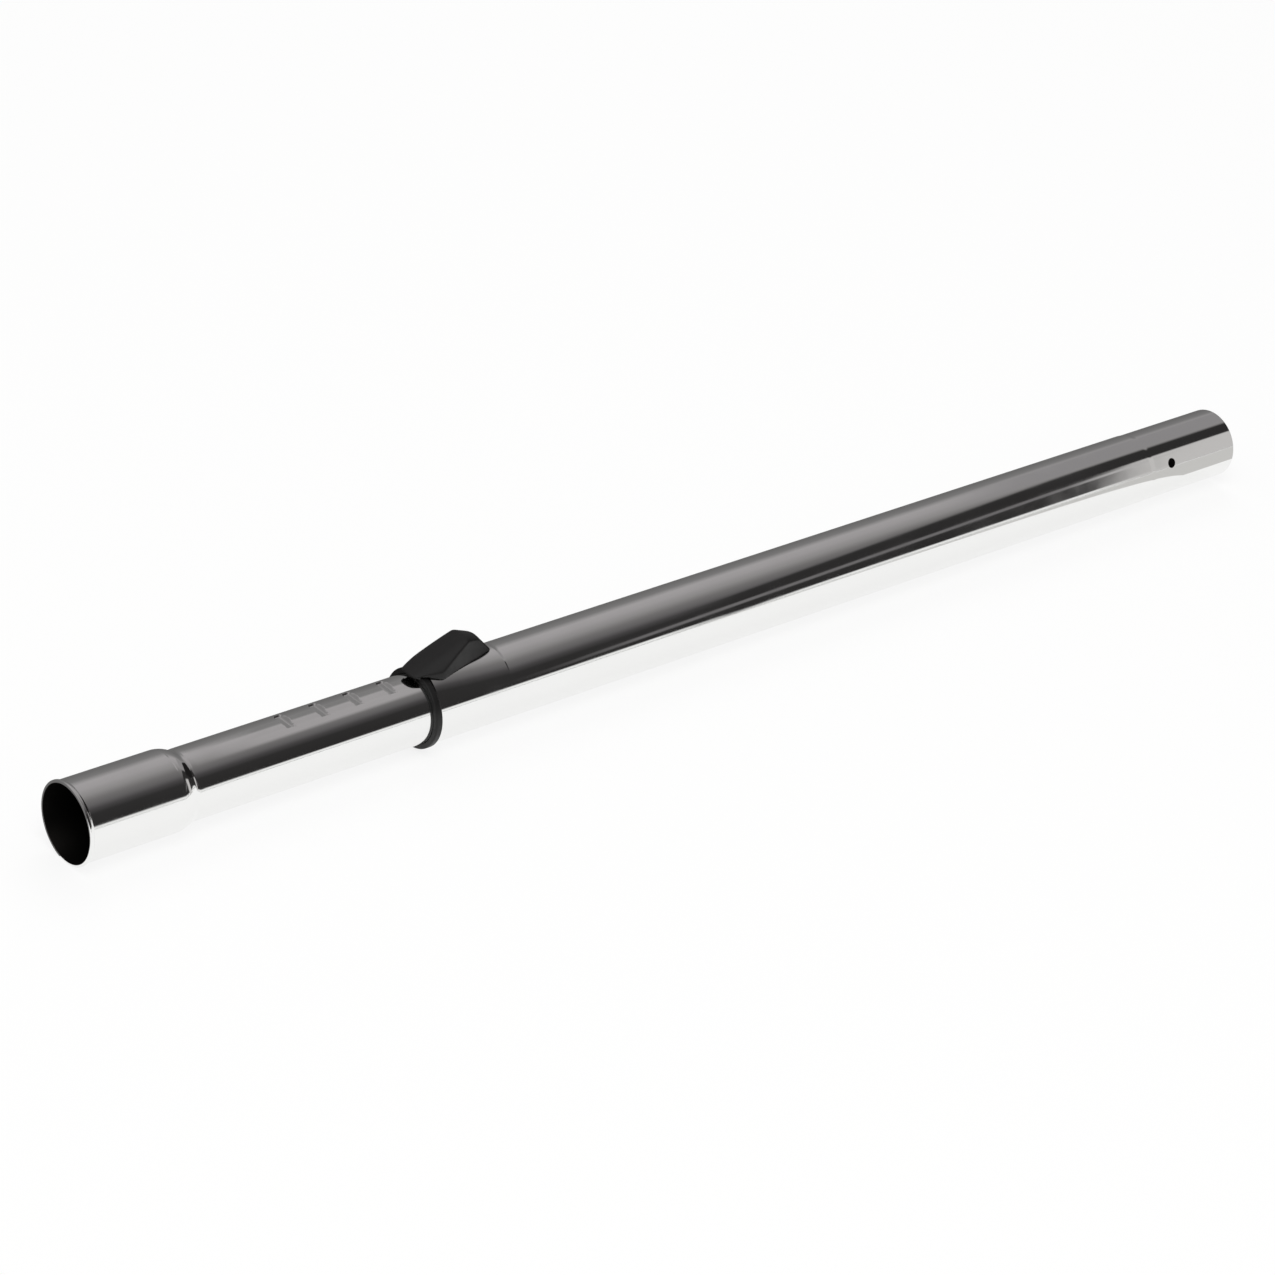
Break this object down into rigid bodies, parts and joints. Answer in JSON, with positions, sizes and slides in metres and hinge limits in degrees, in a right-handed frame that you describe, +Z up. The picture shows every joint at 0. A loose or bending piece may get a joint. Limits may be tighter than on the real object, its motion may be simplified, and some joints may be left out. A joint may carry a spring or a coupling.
{
  "type": "telescopic vacuum wand",
  "caption": "Chromed steel telescopic vacuum wand: inner tube with handle socket and notch row slides in an outer tube, held by a lock with a black slide button.",
  "frame": {"origin": "middle of the handle socket's mouth, on the wand's axis", "axes": "+X along the wand from the handle socket to the nozzle end, +Z up with the lock on top"},
  "size_m": [0.69, 0.0376, 0.0501],
  "materials": {
    "chrome_plated_steel": "polished chrome plate",
    "black_plastic": "fine moulded texture",
    "natural_plastic": "as moulded",
    "plain_steel": "ground",
    "spring_steel": "drawn wire",
    "felt": "pressed felt"
  },
  "bodies": {
    "outer": {"outer_tube": "chrome_plated_steel", "guide_sleeve": "black_plastic", "lock_body": "natural_plastic", "return_spring_left": "spring_steel", "return_spring_right": "spring_steel"},
    "inner": {"inner_tube": "chrome_plated_steel", "stop_bush": "natural_plastic", "seal_ring": "felt"},
    "button": {"slide_button": "black_plastic"},
    "bolt": {"locking_bolt": "plain_steel", "cam_pin": "plain_steel"}
  },
  "joints": [
    {"name": "tube_slide", "type": "slide", "parent": "outer", "child": "inner", "axis": [-1, 0, 0], "range_m": [-0.09, 0.342]},
    {"name": "button_slide", "type": "slide", "parent": "outer", "child": "button", "axis": [1, 0, 0], "range_m": [0, 0.004], "stiffness_N_per_m": 600, "springref_m": -0.005, "deforming": ["return_spring_left", "return_spring_right"]},
    {"name": "bolt_lift", "type": "slide", "parent": "outer", "child": "bolt", "axis": [0, 0, 1], "range_m": [0, 0.0016]}
  ],
  "couplings": [
    {"joint": "bolt_lift", "follows": "button_slide", "ratio": 0.4}
  ]
}
